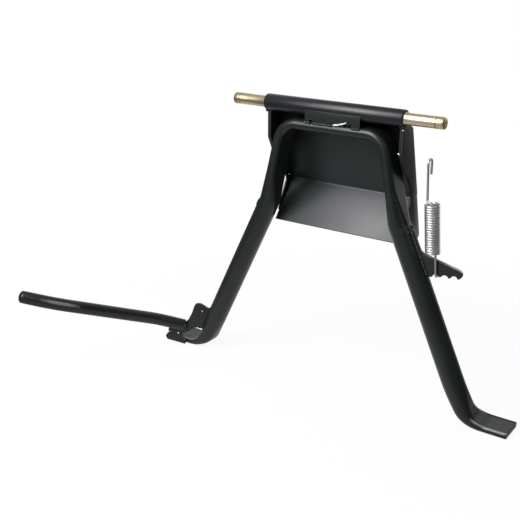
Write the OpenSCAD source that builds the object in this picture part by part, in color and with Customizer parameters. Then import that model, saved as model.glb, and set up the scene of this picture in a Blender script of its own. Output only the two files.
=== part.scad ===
// Centre stand of a small scooter: a bent tube frame that swings on a pivot pin,
// with a folded sheet pan behind it, a spring lug with its return spring on the
// right leg, and a foot lever on the left foot.
// X runs along the pivot pin, Y towards the front of the vehicle, Z up.
// The origin is the middle of the pivot tube. All lengths are in millimetres.

/* [Pivot pin] */
// Diameter of the pin's free ends
pin_d = 12; // [10:0.5:12]
// Overall length of the pin
pin_len = 242; // [225:1:260]
// Chamfer on the pin's end faces
pin_chamfer = 1; // [0.5:0.25:1.5]
// Diameter of the middle journal that turns in the pivot tube
journal_d = 12.4; // [12.4:0.1:12.8]
// How far the journal runs on past each end of the pivot tube
journal_out = 0.5; // [0.3:0.1:2]
// Width of the clip groove near each end
groove_w = 1.4; // [1:0.1:2]
// Depth of the clip groove
groove_depth = 0.75; // [0.4:0.05:1]
// Distance of the clip groove's middle from the pin's end
groove_inset = 8; // [5:0.5:11]

/* [Pivot tube] */
// Outside diameter of the pivot tube
sleeve_d = 17.2; // [16.5:0.1:19]
// Length of the pivot tube
sleeve_len = 160; // [155:1:170]
// Radial running clearance between journal and tube
running_gap = 0.06; // [0.03:0.01:0.09]
// Chamfer on the tube's outer end edges
sleeve_chamfer = 0.6; // [0.3:0.1:1]

/* [Leg tube] */
// Outside diameter of the leg tube where it is round
leg_d = 23; // [21:0.5:25]
// Wall thickness of the leg tube
leg_wall = 2; // [1.5:0.25:2.5]
// Thickness of the tube where it is pressed flat, over the crown and upper legs
crown_t = 11; // [10:0.5:14]
// Height of the crown's centre line below the pivot axis
crown_drop = 18.6; // [17:0.1:22]
// How far the sharp corner of crown and leg lies inside the side walls
corner_inset = 16.4; // [14:0.1:20]
// Centre line radius of the crown's corners
corner_r = 22; // [18:1:26]
// Splay of the upper legs from the vertical, in degrees
upper_splay = 12.4; // [10:0.1:14]
// Height of the kink between upper and lower leg below the pivot axis
kink_drop = 108.2; // [104:0.1:114]
// Centre line radius of the kink
kink_r = 40; // [30:1:60]
// Splay of the lower legs from the vertical, in degrees
lower_splay = 25.1; // [22:0.1:28]
// Height below the pivot axis at which the pressed part of the leg ends
press_end = 119; // [116:1:124]
// Height of the transition from flat to round above the pressed part's end
press_run = 56; // [40:1:60]
// Step in thickness at the pressed part's shoulder
press_step = 0.9; // [0.5:0.1:1.5]
// Height of the lip that the press leaves on the outer side, just above the shoulder
press_lip = 1.3; // [0.5:0.1:2]
// Lean of the frame's plane from the vertical, in degrees
lean = 1.6; // [0.5:0.1:3]
// How far the frame's plane lies in front of the pivot axis
frame_y = 5.5; // [4.5:0.1:6.5]

/* [Feet] */
// Height of the pivot axis above the ground
stand_h = 307; // [295:1:320]
// Distance of the foot pads' ends from the middle plane
foot_reach = 211; // [206:1:220]
// Centre line radius of the bend into the foot pad
foot_r = 28; // [22:1:30]
// Thickness of the flattened foot pad
pad_t = 7; // [6:0.5:9]
// How far the right pad is shifted towards the front of the vehicle
pad_shift_right = 13; // [10:0.5:15]
// How far the left pad is shifted towards the front of the vehicle
pad_shift_left = 5.5; // [4:0.5:8]
// Where the flattening begins, before the foot's bend
pad_start = 14; // [8:0.5:18]
// Width of the rolled edges that stay thick along the pad
pad_bead = 3.6; // [3:0.1:5]
// How far the pad's middle is pressed below its rolled edges
pad_dent = 1; // [0.5:0.1:1.5]

/* [Sheet pan] */
// Thickness of the sheet
sheet_t = 2; // [1.5:0.25:3]
// Rear top edge of the pan, ahead of the pivot axis
pan_top_y = 20.6; // [19:0.1:23]
// Rear top edge of the pan, below the pivot axis
pan_top_drop = 12.4; // [11:0.1:14]
// Fold between back wall and floor, ahead of the pivot axis
fold_y = 43; // [40:0.5:46]
// Fold between back wall and floor, below the pivot axis
fold_drop = 90; // [86:0.5:94]
// Front edge of the floor, ahead of the pivot axis
floor_y = 9; // [7:0.5:12]
// Front edge of the floor, below the pivot axis
floor_drop = 131; // [128:0.5:136]
// Inside radius of the sheet's folds
fold_r = 3; // [2:0.5:5]
// Rear bottom corner of the side walls, ahead of the pivot axis
skirt_y = 57; // [52:0.5:60]
// Bottom edge of the side walls, below the pivot axis
skirt_drop = 139; // [135:0.5:144]

/* [Ears] */
// Thickness of the ear plates on the outside of the side walls
ear_t = 2; // [1.5:0.25:3]
// How far the pivot tube stands out past the ears
ear_inset = 1; // [0.5:0.25:2]
// Front edge of the ears behind the pivot axis
ear_y = 1.5; // [0.5:0.25:3]
// How far above the place where leg and wall meet the front edge turns back
ear_lead = 31; // [27:0.5:36]
// Lower end of the ears, below the pivot axis
ear_end = 87; // [84:0.5:89]

/* [Crown web] */
// Left end of the plate that joins pivot tube and crown, from the middle plane
web_left = 29; // [25:0.5:34]
// Right end of that plate, from the middle plane
web_right = 35; // [30:0.5:38]
// Thickness of that plate
web_t = 2.5; // [2:0.25:3.5]
// Radius of the notches in its lower edge
web_notch_r = 2; // [1:0.25:3]

/* [Spring lug] */
// Thickness of the spring lug
lug_t = 4; // [3:0.5:4.5]
// Distance of the lug's tip from the middle plane
lug_reach = 149.2; // [144:0.2:156]
// Depth of the lug's root below the pressed part's end
lug_depth = 36.5; // [32:0.5:42]
// Height of the tip's middle above the root
lug_rise = 8.9; // [7:0.1:11]
// Pitch of the hook notches
notch_pitch = 9.8; // [9.4:0.1:11]
// Radius of the hook notches
notch_r = 4.2; // [3.8:0.1:4.6]
// How much lower each notch lies than the one outside it
notch_step = 1.2; // [0.8:0.1:1.6]
// Radius of the lug's round tip
lug_tip_r = 5; // [4:0.25:6]

/* [Return spring] */
// Wire diameter of the return spring
wire_d = 2.3; // [2:0.1:2.5]
// Outside diameter of the coil
coil_d = 15.3; // [14.5:0.1:16]
// Gap between neighbouring turns
turn_gap = 0.15; // [0.1:0.05:0.4]
// Number of turns
turns = 20; // [16:1:20]
// Inside radius of the lower hook
hook_r = 3; // [2.8:0.1:3.3]
// Height of the coil's first turn above the middle of the lower hook
coil_rise = 23.2; // [20:0.2:28]
// Length of the straight wire above the coil
shank_len = 36; // [30:1:45]
// Centre line radius of the upper hook
upper_hook_r = 4.2; // [3.5:0.1:5]

/* [Foot lever] */
// Diameter of the lever's rod
rod_d = 14.3; // [12:0.1:15]
// Thickness of the bracket plate at the foot
bracket_t = 4; // [3:0.5:5]
// Angle of the bracket plate to the frame's plane, in degrees
bracket_turn = 30; // [27:1:33]
// Distance of the bracket's middle outside the foot's corner point
bracket_out = 18.2; // [16:0.2:20]

/* [Hidden] */

// small gap between welded pieces that are cut to each other's shape
weld_gap = 0.1;
bore_r = journal_d / 2 + running_gap;
journal_half = sleeve_len / 2 + journal_out;
pan_half = sleeve_len / 2 - ear_inset - ear_t - sheet_t;
groove_x = pin_len / 2 - groove_inset;

// centre line of the right leg, as corner points in the frame's plane
corner_x = pan_half - corner_inset;
kink_x = corner_x + tan(upper_splay) * (kink_drop - crown_drop);
foot_z = -stand_h + pad_t / 2;
foot_x = kink_x + tan(lower_splay) * (-foot_z - kink_drop);
CORNERS = [[0, -crown_drop], [corner_x, -crown_drop], [kink_x, -kink_drop],
           [foot_x, foot_z], [foot_reach, foot_z]];
TURN_STEPS = [0, 9, 3, 9, 0];

// plane of the lug: the middle of the leg where the lug sits
lug_y = frame_y - tan(lean) * (press_end + lug_depth / 2);

function unit(v) = v / norm(v);
function side(v) = [-v[1], v[0]];
function mix(a, b, t) = a + (b - a) * t;
function smooth(t) = let (u = min(1, max(0, t))) u * u * (3 - 2 * u);

// points and directions of a polyline whose corners are rounded by arcs
function arc_stations(a, b, c, r, n) =
    let (d0 = unit(b - a), d1 = unit(c - b),
         ang = acos(d0 * d1), run = r * tan(ang / 2),
         s = sign(d0[0] * d1[1] - d0[1] * d1[0]),
         centre = b - d0 * run + side(d0) * s * r)
    [for (i = [0:n])
        let (t = s * ang * i / n,
             d = [d0[0] * cos(t) - d0[1] * sin(t), d0[0] * sin(t) + d0[1] * cos(t)])
        [centre - side(d) * s * r, d]];

// height steps along the upper leg, where its section changes
PRESS_Z = [-press_end + press_run, -press_end + press_run * 0.75, -press_end + press_run * 0.5,
           -press_end + press_run * 0.25];
SHOULDER_Z = [-press_end + 4.5, -press_end + 1.5, -press_end];

function on_line(a, b, z) = mix(a, b, (z - a[1]) / (b[1] - a[1]));
upper_dir = unit(CORNERS[2] - CORNERS[1]);
lower_dir = unit(CORNERS[3] - CORNERS[2]);

KINK = arc_stations(CORNERS[1], CORNERS[2], CORNERS[3], kink_r, TURN_STEPS[2]);
FOOT = arc_stations(CORNERS[2], CORNERS[3], CORNERS[4], foot_r, TURN_STEPS[3]);
kink_top = KINK[0][0][1];
kink_end = KINK[len(KINK) - 1][0][1];

RIGHT_HALF = concat(
    [[CORNERS[0], [1, 0]]],
    arc_stations(CORNERS[0], CORNERS[1], CORNERS[2], corner_r, TURN_STEPS[1]),
    [for (z = PRESS_Z) if (z > kink_top + 1) [on_line(CORNERS[1], CORNERS[2], z), upper_dir]],
    KINK,
    [for (z = SHOULDER_Z) if (z < kink_end - 0.5) [on_line(CORNERS[2], CORNERS[3], z), lower_dir]],
    [[mix(CORNERS[2], CORNERS[3], 0.5), lower_dir],
     [mix(CORNERS[2], CORNERS[3], 0.84), lower_dir]],
    FOOT,
    [[mix(CORNERS[3], CORNERS[4], 0.75), [1, 0]],
     [CORNERS[4] - [1, 0], [1, 0]],
     [CORNERS[4], [1, 0]]]);

// thickness of the tube in the frame's plane at one point of the centre line
function press_t(z) = z > -press_end
    ? mix(leg_d - press_step, crown_t, smooth((z + press_end) / press_run))
    : leg_d;
pad_x0 = FOOT[0][0][0] - pad_start;
pad_x1 = FOOT[len(FOOT) - 1][0][0];
function pad_share(x) = smooth((x - pad_x0) / (pad_x1 - pad_x0));
function tube_t(p) = min(press_t(p[1]), mix(leg_d, pad_t, pad_share(p[0])));
function plane_y(z) = frame_y + tan(lean) * z;
function lip(z) = z > -press_end ? press_lip * smooth((-z - press_end + 10) / 5) : 0;
function shift(p) = (p[0] > 0 ? pad_shift_right : pad_shift_left) * pad_share(abs(p[0]));

// a flattened tube keeps its girth, so it widens as it gets thinner
function tube_w(t) = t + (leg_d - t) * PI / 2;

// outline of a flattened tube, with its points spread evenly over its girth
function stadium(t, w, n) =
    let (flat = w - t, bow = PI * t / 2, girth = 2 * (flat + bow))
    [for (i = [0:n - 1])
        let (s = ((i + 0.5) / n * girth + flat / 2) % girth,
             far = s >= flat + bow,
             q = far ? s - flat - bow : s,
             a = (q - flat) / (t / 2) * 180 / PI,
             p = q < flat ? [t / 2, q - flat / 2] : [t / 2 * cos(a), flat / 2 + t / 2 * sin(a)])
        far ? -p : p];

// the pad's middle lies below its rolled edges
function dent(p, v, w) = pad_dent * smooth((pad_share(abs(p[0])) - 0.45) / 0.35)
    * smooth((w / 2 - abs(v) - pad_bead / 2) / 2);

function ring(p, d, t, w, n, inset) =
    let (out = side(d))
    [for (q = stadium(t, w, n))
        let (press = inset == 0 ? dent(p, q[1], w) : 0,
             u = q[0] > 0 ? q[0] - press + lip(p[1]) * q[0] / (t / 2) : q[0] + press / 3,
             z = p[1] + out[1] * u)
        [p[0] + out[0] * u, plane_y(z) + shift(p) + q[1], z]];

// middle of a ring of points
function middle(r) = [for (i = [0:len(r) - 1]) 1] * r / len(r);

// skins a row of rings; each end is closed round its middle point
module loft(rings) {
    n = len(rings[0]);
    m = len(rings);
    polyhedron(
        points = concat([for (r = rings) each r], [middle(rings[0]), middle(rings[m - 1])]),
        faces = concat(
            [for (i = [0:n - 1]) [(i + 1) % n, i, m * n]],
            [for (k = [0:m - 2], i = [0:n - 1])
                let (j = (i + 1) % n)
                [k * n + j, (k + 1) * n + j, (k + 1) * n + i, k * n + i]],
            [for (i = [0:n - 1]) [(m - 1) * n + i, (m - 1) * n + (i + 1) % n, m * n + 1]]),
        convexity = 6);
}

// the left leg's stations, from its foot up to the crown
function mirrored(s) = [for (i = [len(s) - 1:-1:1]) [[-s[i][0][0], s[i][0][1]], [s[i][1][0], -s[i][1][1]]]];

module leg_shape(path, inset, n) {
    last = len(path) - 1;
    loft([for (k = [0:last])
        let (p = path[k][0], t = tube_t([abs(p[0]), p[1]]) - 2 * inset,
             trim = inset == 0 && (k == 0 || k == last) ? 1.4 : 0)
        ring(p, path[k][1], t - trim, tube_w(t + 2 * inset) - 2 * inset - trim, n, inset)]);
}

module leg_frame() {
    hollow = [for (s = RIGHT_HALF) if (s[0][1] > FOOT[2][0][1]) s];
    color("#15181a")
    difference() {
        leg_shape(concat(mirrored(RIGHT_HALF), RIGHT_HALF), 0, 36);
        leg_shape(concat(mirrored(hollow), hollow), leg_wall, 16);
    }
}

// lathe profile of the pin, one half, from its middle outwards
PIN_HALF = [[journal_half, journal_d / 2], [journal_half, pin_d / 2],
            [groove_x - groove_w / 2, pin_d / 2],
            [groove_x - groove_w / 2, pin_d / 2 - groove_depth],
            [groove_x + groove_w / 2, pin_d / 2 - groove_depth],
            [groove_x + groove_w / 2, pin_d / 2],
            [pin_len / 2 - pin_chamfer, pin_d / 2],
            [pin_len / 2, pin_d / 2 - pin_chamfer], [pin_len / 2, 0]];

module pivot_pin() {
    color("#c8a860")
    rotate([0, 90, 0])
    rotate_extrude($fn = 96)
    polygon(concat(
        [for (q = PIN_HALF) [q[1], q[0]]],
        [for (i = [len(PIN_HALF) - 1:-1:0]) [PIN_HALF[i][1], -PIN_HALF[i][0]]]));
}

module pivot_tube() {
    half = sleeve_len / 2;
    c = sleeve_chamfer;
    color("#15181a")
    rotate([0, 90, 0])
    rotate_extrude($fn = 96)
    polygon([[bore_r, -half], [sleeve_d / 2 - c, -half], [sleeve_d / 2, -half + c],
             [sleeve_d / 2, half - c], [sleeve_d / 2 - c, half], [bore_r, half]]);
}

// outline of a bent strip: its centre line is rounded, then thickened to both sides
function bend_line(pts, r, n) = concat(
    [[pts[0], unit(pts[1] - pts[0])]],
    [for (i = [1:len(pts) - 2]) each arc_stations(pts[i - 1], pts[i], pts[i + 1], r, n)],
    [[pts[len(pts) - 1], unit(pts[len(pts) - 1] - pts[len(pts) - 2])]]);
function strip(line, t) = concat(
    [for (s = line) s[0] + side(s[1]) * t / 2],
    [for (i = [len(line) - 1:-1:0]) line[i][0] - side(line[i][1]) * t / 2]);

// extrudes an outline drawn in the Y-Z plane from x0 to x1
module across(x0, x1) {
    translate([x0, 0, 0])
    rotate([90, 0, 90])
    linear_extrude(x1 - x0)
    children();
}

module sleeve_cut(x0, x1) {
    translate([x0, 0, 0])
    rotate([0, 90, 0])
    cylinder(r = sleeve_d / 2 + weld_gap, h = x1 - x0, $fn = 96);
}

function back_y(z) = pan_top_y + (fold_y - pan_top_y) * (-z - pan_top_drop) / (fold_drop - pan_top_drop);

// depth at which the leg's outer flank reaches the side wall
meet_drop = crown_drop + (corner_inset - crown_t / 2) / tan(upper_splay);
// front edge of the side walls and ears: down past the crown, then back behind the leg
leg_rear_y = plane_y(-ear_end) + tube_w(crown_t) / 2;
EAR_FRONT = [[-ear_y, -sleeve_d / 2 + 1], [-ear_y, -(meet_drop - ear_lead)],
             [leg_rear_y - 11, -(meet_drop - ear_lead / 2.2)],
             [leg_rear_y - 1, -(meet_drop - ear_lead / 5)], [leg_rear_y + 8, -ear_end + 13],
             [leg_rear_y + 10, -ear_end + 3]];
TOP_EDGE = [[pan_top_y, -pan_top_drop], [sleeve_d / 2 - 1, -sleeve_d / 2 + 3.6], [0, 0]];

module side_wall() {
    polygon(concat(
        EAR_FRONT,
        [[leg_rear_y + 14, -ear_end - 2], [floor_y + 6.5, -floor_drop + 8],
         [skirt_y, -skirt_drop], [fold_y + 1.5, -fold_drop]],
        TOP_EDGE));
}

module ear_outline() {
    polygon(concat(
        EAR_FRONT,
        [[back_y(-ear_end) - 1.5, -ear_end]],
        TOP_EDGE));
}

module pan() {
    inner_z = -sleeve_d / 2 + 3.8;
    half = sheet_t / 2;
    shell = bend_line([[sleeve_d / 2 - 2, inner_z], [pan_top_y - half, -pan_top_drop],
                       [fold_y - half, -fold_drop], [floor_y, -floor_drop]],
                      fold_r + half, 5);
    color("#15181a")
    difference() {
        union() {
            across(-pan_half, pan_half)
            polygon(strip(shell, sheet_t));
            for (s = [-1, 1])
                across(s > 0 ? pan_half : -pan_half - sheet_t, s > 0 ? pan_half + sheet_t : -pan_half)
                side_wall();
        }
        sleeve_cut(-pan_half - sheet_t - 1, pan_half + sheet_t + 1);
    }
}

module ear(s) {
    x = pan_half + sheet_t;
    color("#15181a")
    difference() {
        across(s > 0 ? x : -x - ear_t, s > 0 ? x + ear_t : -x)
        ear_outline();
        sleeve_cut(-x - ear_t - 1, x + ear_t + 1);
    }
}

module ear_left() {
    ear(-1);
}

module ear_right() {
    ear(1);
}

// the crown's front rounding: the plate stands on it
crown_y = plane_y(-crown_drop) - (tube_w(crown_t) - crown_t) / 2;
web_front = -sleeve_d / 2 + 0.1;
WEB_NOTCHES = [-21.8, 18.5, 23.5];

module crown_web() {
    color("#15181a")
    difference() {
        translate([-web_left, web_front, -crown_drop])
        cube([web_left + web_right, web_t, crown_drop - 2]);
        sleeve_cut(-web_left - 1, web_right + 1);
        translate([-web_left - 1, crown_y, -crown_drop])
        rotate([0, 90, 0])
        cylinder(d = crown_t + 2 * weld_gap, h = web_left + web_right + 2, $fn = 64);
        for (x = WEB_NOTCHES)
            translate([x, web_front - 1, -crown_drop + crown_t / 2 - 0.5])
            rotate([-90, 0, 0])
            cylinder(r = web_notch_r, h = web_t + 2, $fn = 32);
    }
}

// outer flank of the right leg, where the lug is welded on
function flank(s) = s[0] + side(s[1]) * (tube_t(s[0]) / 2 + lip(s[0][1]) + weld_gap);
lug_top = [for (s = RIGHT_HALF) if (s[0][1] < -press_end + 15 && s[0][1] > -press_end - 20) s];
lower_flank_x = kink_x + (leg_d / 2 + weld_gap) / cos(lower_splay);
function flank_x(z) = lower_flank_x + tan(lower_splay) * (-z - kink_drop);

lug_root_z = -press_end - lug_depth;
tip = [lug_reach - lug_tip_r, lug_root_z + lug_rise];
// the notches' middles; the scalloped edge falls towards the leg
NOTCHES = [for (i = [0:2]) tip - [2.6 + notch_pitch * i, 2.2 + notch_r + notch_step * i]];
hook_notch = NOTCHES[2];
// root of the lug's upper edge, and the edge's slope from there to the tip
lug_shoulder = [flank_x(-press_end - 16) + 4, tip[1] + lug_tip_r + 9];

module spring_lug() {
    color("#15181a")
    translate([0, lug_y + lug_t / 2, 0])
    rotate([90, 0, 0])
    linear_extrude(lug_t)
    difference() {
        union() {
            polygon(concat(
                [for (s = lug_top) flank(s)],
                [[flank_x(lug_root_z), lug_root_z], [flank_x(lug_root_z) + 3, lug_root_z + 0.5],
                 [NOTCHES[1][0] - notch_pitch / 2, tip[1] - lug_tip_r - 1.2],
                 [tip[0], tip[1] - lug_tip_r], tip, [tip[0] + 1, tip[1] + lug_tip_r - 0.1],
                 lug_shoulder, [flank_x(-press_end - 10) + 3, lug_shoulder[1] + 2.5]],
                [for (i = [len(lug_top) - 1:-1:0]) if (lug_top[i][0][1] > -press_end - 11)
                    flank(lug_top[i]) + [3, 0.5]]));
            translate(tip)
            circle(r = lug_tip_r, $fn = 40);
        }
        for (q = NOTCHES)
            translate(q)
            circle(r = notch_r, $fn = 40);
    }
}

// sweep along a path of points, with a frame that never twists about the path
function tangents(p) = [for (i = [0:len(p) - 1])
    unit(p[min(i + 1, len(p) - 1)] - p[max(i - 1, 0)])];
function turned(n, t) = unit(n - (n * t) * t);
function frames(ts, n0) = [for (i = 0, n = turned(n0, ts[0]); i < len(ts);
    i = i + 1, n = i < len(ts) ? turned(n, ts[i]) : n) n];

module sweep(path, radii, sides, n0) {
    ts = tangents(path);
    ns = frames(ts, n0);
    loft([for (k = [0:len(path) - 1])
        let (b = cross(ts[k], ns[k]))
        [for (i = [0:sides - 1])
            let (a = -i * 360 / sides)
            path[k] + radii[k] * (ns[k] * cos(a) + b * sin(a))]]);
}

// return spring, drawn with its coil's axis on Z and turned to its slant afterwards
mean_r = (coil_d - wire_d) / 2;
pitch = wire_d + turn_gap;
coil_len = turns * pitch;
loop_r = hook_r + wire_d / 2;
loop_y = lug_y;
loop_z = hook_notch[1] + notch_r + 1.8;
loop_x = hook_notch[0] + 0.9;
coil_y = lug_y - loop_r - mean_r;
coil_base = [loop_x - coil_rise * 0.08, coil_y, loop_z + coil_rise];
coil_tilt = [-4.2, 0, 53];
coil_axis = unit(coil_tilt);
coil_side = unit([coil_axis[2], 0, -coil_axis[0]]);
coil_back = cross(coil_axis, coil_side);

function coil_point(h, r, a) = coil_base + coil_axis * h + coil_side * r * sin(a) + coil_back * r * cos(a);
function hook_point(a) = [loop_x, loop_y + loop_r * cos(a), loop_z + loop_r * sin(a)];

SEGS = 12;
HOOK = [for (a = [-10:-17:-180]) hook_point(a)];
RISER = [for (t = [0.06, 0.3, 0.6, 0.85]) mix([loop_x, loop_y - loop_r, loop_z], coil_point(-2.5, mean_r, 0), t)];
COIL = [for (i = [0:turns * SEGS]) coil_point(i / SEGS * pitch, mean_r, 360 * i / SEGS)];
// the upper end leaves the coil at the front and runs up as a long shank with a small hook
shank_foot = coil_point(coil_len + 2 * wire_d, mean_r, 200);
shank_top = shank_foot + unit([-0.046, 0, 1]) * shank_len;
SHANK = concat(
    [for (q = [[50, 0.2], [100, 0.4], [145, 0.75], [180, 1.3]]) coil_point(coil_len + q[1] * wire_d, mean_r, q[0])],
    [for (t = [0, 0.1, 0.5, 1]) mix(shank_foot, shank_top, t)],
    [for (a = [160:-20:0]) shank_top + upper_hook_r * [0, 1 + cos(a), sin(a)]],
    [for (k = [1.2, 2.7]) shank_top + upper_hook_r * [0, 2, -k]]);
WIRE = concat(HOOK, RISER, COIL, SHANK);

module return_spring() {
    color("#d4d7d8")
    sweep(WIRE, [for (p = WIRE) wire_d / 2], 8, [1, 0, 0]);
}

// foot lever: rod from its free tip down to the bracket, chosen points
foot_at = [-foot_x, 0, -stand_h];
LEVER = [for (q = [[-118.2, -182, 97.5], [-94.7, -152, 83.5], [-42.2, -39.5, 37], [-19.8, -17.7, 26.4]])
         foot_at + q];
function bend3(a, b, c, run, n) =
    let (p0 = b + unit(a - b) * run, p1 = b + unit(c - b) * run)
    [for (i = [0:n]) let (t = i / n) (1 - t) * (1 - t) * p0 + 2 * t * (1 - t) * b + t * t * p1];
rod_dir = unit(LEVER[3] - LEVER[2]);
rod_out = unit(LEVER[0] - LEVER[1]);
rod_r = rod_d / 2;

module foot_lever() {
    dome = [for (a = [75, 55, 35, 15]) a];
    path = concat(
        [for (a = dome) LEVER[0] + rod_out * (sin(a) - 1) * rod_r * 0.6],
        bend3(LEVER[0], LEVER[1], LEVER[2], 20, 6),
        bend3(LEVER[1], LEVER[2], LEVER[3], 14, 5),
        [LEVER[3]]);
    radii = [for (k = [0:len(path) - 1]) k < len(dome) ? rod_r * cos(dome[k]) : rod_r];
    color("#15181a")
    sweep(path, radii, 24, [0, 0, 1]);
}

// places children with their Z axis along a direction
module along(p, dir) {
    translate(p)
    rotate([0, acos(dir[2]), atan2(dir[1], dir[0])])
    children();
}

// bracket plate, drawn upright in its own plane: u towards the lever, v up from the ground
bracket_at = [-foot_x - bracket_out, -15, 0];
// upper part with its lobe, from the leg to the lever's end
LOBE = [[-41, 51], [-33, 51], [-27, 49], [-24, 51], [-19, 54.4], [-14.4, 55.3], [-11, 53.5],
        [-9.3, 50], [-6.8, 42.3], [-2.2, 33.4], [3, 28]];
// tail under the lever, down to the foot pad
TAIL = [[12, 28], [21, 24.5], [22.6, 20.1], [22.2, 16.5], [26.5, 11.5], [24, 7.2],
        [9.1, 3.1], [1.6, 1]];
// inner edge of the bracket's opening, back to the leg
THROAT = [[1.6, 5.2], [4.5, 7], [6, 13], [4, 17], [-2.5, 18.5], [-9, 23.5], [-19, 22.5],
          [-30, 23]];

module foot_bracket() {
    rod_cut = 3 * rod_d;
    low = [for (s = RIGHT_HALF) if (s[0][1] < -press_end + 5) s];
    color("#15181a")
    difference() {
        translate(bracket_at)
        rotate([90, 0, bracket_turn])
        linear_extrude(bracket_t, center = true)
        translate([0, -stand_h])
        mirror([1, 0])
        polygon(concat(LOBE, TAIL, THROAT));
        leg_shape(mirrored(low), -weld_gap, 36);
        along(LEVER[3] - rod_dir * (rod_cut - weld_gap), rod_dir)
        cylinder(d = rod_d + 6 * weld_gap, h = rod_cut, $fn = 64);
    }
}

pivot_pin();
pivot_tube();
leg_frame();
pan();
ear_left();
ear_right();
crown_web();
spring_lug();
return_spring();
foot_bracket();
foot_lever();
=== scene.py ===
import math

import bmesh
import bpy
import numpy as np
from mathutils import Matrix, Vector


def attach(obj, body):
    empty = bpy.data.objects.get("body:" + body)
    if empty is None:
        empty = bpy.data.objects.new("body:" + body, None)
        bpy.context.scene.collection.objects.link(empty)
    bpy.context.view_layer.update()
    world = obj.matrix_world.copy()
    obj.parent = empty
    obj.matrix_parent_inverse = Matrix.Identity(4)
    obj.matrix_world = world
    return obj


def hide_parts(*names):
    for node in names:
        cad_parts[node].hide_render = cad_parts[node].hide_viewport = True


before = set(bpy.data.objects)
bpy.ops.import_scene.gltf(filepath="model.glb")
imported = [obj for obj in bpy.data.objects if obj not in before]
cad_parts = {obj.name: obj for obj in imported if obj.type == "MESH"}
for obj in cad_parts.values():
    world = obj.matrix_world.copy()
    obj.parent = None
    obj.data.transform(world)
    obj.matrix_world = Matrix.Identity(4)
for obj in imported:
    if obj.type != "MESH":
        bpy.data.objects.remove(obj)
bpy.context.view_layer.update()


# --- Pivot pin ---
# The pin is a turned steel bar, zinc plated and yellow passivated. Its thicker middle
# turns inside the pivot tube and both free ends carry a groove for a clip.
pin_r, journal_r, pin_half = 6.0, 6.2, 121.0
journal_half = 80.5
groove_at, groove_half, groove_depth = 113.0, 0.7, 0.75


def piece_from(name, points, faces, finish, crease=35):
    """A closed piece from points in millimetres, doubles merged and faces outwards."""
    mesh = bpy.data.meshes.new(name)
    mesh.from_pydata([tuple(0.001 * c for c in p) for p in points], [], faces)
    form = bmesh.new()
    form.from_mesh(mesh)
    bmesh.ops.remove_doubles(form, verts=form.verts, dist=2e-6)
    bmesh.ops.dissolve_degenerate(form, edges=form.edges, dist=1e-6)
    bmesh.ops.recalc_face_normals(form, faces=form.faces)
    form.to_mesh(mesh)
    form.free()
    mesh.shade_smooth()
    mesh.set_sharp_from_angle(angle=math.radians(crease))
    mesh.materials.append(finish)
    piece = bpy.data.objects.new(name, mesh)
    bpy.context.collection.objects.link(piece)
    return piece


def turned_piece(name, profile, finish, sides=96, loop=False, crease=35):
    """A lathe form round the X axis: the profile is a list of (x, radius)."""
    points, faces, rows = [], [], []
    for x, r in profile:
        if r < 1e-6:
            rows.append([len(points)])
            points.append((x, 0.0, 0.0))
            continue
        rows.append(list(range(len(points), len(points) + sides)))
        for i in range(sides):
            a = 2 * math.pi * i / sides
            points.append((x, r * math.cos(a), r * math.sin(a)))
    pairs = list(zip(rows, rows[1:] + rows[:1])) if loop else list(zip(rows, rows[1:]))
    for one, two in pairs:
        for i in range(sides):
            j = (i + 1) % sides
            if len(one) == 1:
                faces.append((one[0], two[j], two[i]))
            elif len(two) == 1:
                faces.append((one[i], one[j], two[0]))
            else:
                faces.append((one[i], one[j], two[j], two[i]))
    return piece_from(name, points, faces, finish, crease)


def shader_group(name, inputs, outputs):
    """An empty shader node group with named inputs and outputs."""
    group = bpy.data.node_groups.new(name, "ShaderNodeTree")
    for label, kind, value in inputs:
        socket = group.interface.new_socket(label, in_out="INPUT", socket_type=kind)
        socket.default_value = value
    for label, kind in outputs:
        group.interface.new_socket(label, in_out="OUTPUT", socket_type=kind)
    return group, group.nodes.new("NodeGroupInput"), group.nodes.new("NodeGroupOutput")


def noise_at(tree, scale, detail=2.0, rough=0.5, stretch=None):
    """A noise texture on Object coordinates, with an optional stretch per axis."""
    place = tree.nodes.new("ShaderNodeTexCoord")
    noise = tree.nodes.new("ShaderNodeTexNoise")
    noise.inputs["Scale"].default_value = scale
    noise.inputs["Detail"].default_value = detail
    noise.inputs["Roughness"].default_value = rough
    if stretch:
        turn = tree.nodes.new("ShaderNodeMapping")
        turn.inputs["Scale"].default_value = stretch
        tree.links.new(place.outputs["Object"], turn.inputs["Vector"])
        tree.links.new(turn.outputs["Vector"], noise.inputs["Vector"])
    else:
        tree.links.new(place.outputs["Object"], noise.inputs["Vector"])
    return noise.outputs["Fac"]


def remap(tree, value, a, b, low=0.0, high=1.0):
    """Maps a value from the range a..b to low..high, smoothly and clamped."""
    node = tree.nodes.new("ShaderNodeMapRange")
    node.interpolation_type = "SMOOTHSTEP"
    node.inputs["From Min"].default_value = a
    node.inputs["From Max"].default_value = b
    node.inputs["To Min"].default_value = low
    node.inputs["To Max"].default_value = high
    tree.links.new(value, node.inputs["Value"])
    return node.outputs["Result"]


def blend_colour(tree, share, one, two):
    """Mixes two colours; each is a colour or a socket."""
    node = tree.nodes.new("ShaderNodeMix")
    node.data_type = "RGBA"
    tree.links.new(share, node.inputs["Factor"])
    for value, socket in ((one, node.inputs["A"]), (two, node.inputs["B"])):
        if isinstance(value, bpy.types.NodeSocket):
            tree.links.new(value, socket)
        else:
            socket.default_value = (*value, 1.0)
    return node.outputs["Result"]


def figure(tree, how, one, two):
    """A Math node; each side is a number or a socket."""
    node = tree.nodes.new("ShaderNodeMath")
    node.operation = how
    for value, socket in ((one, node.inputs[0]), (two, node.inputs[1])):
        if isinstance(value, bpy.types.NodeSocket):
            tree.links.new(value, socket)
        else:
            socket.default_value = value
    return node.outputs["Value"]


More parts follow.
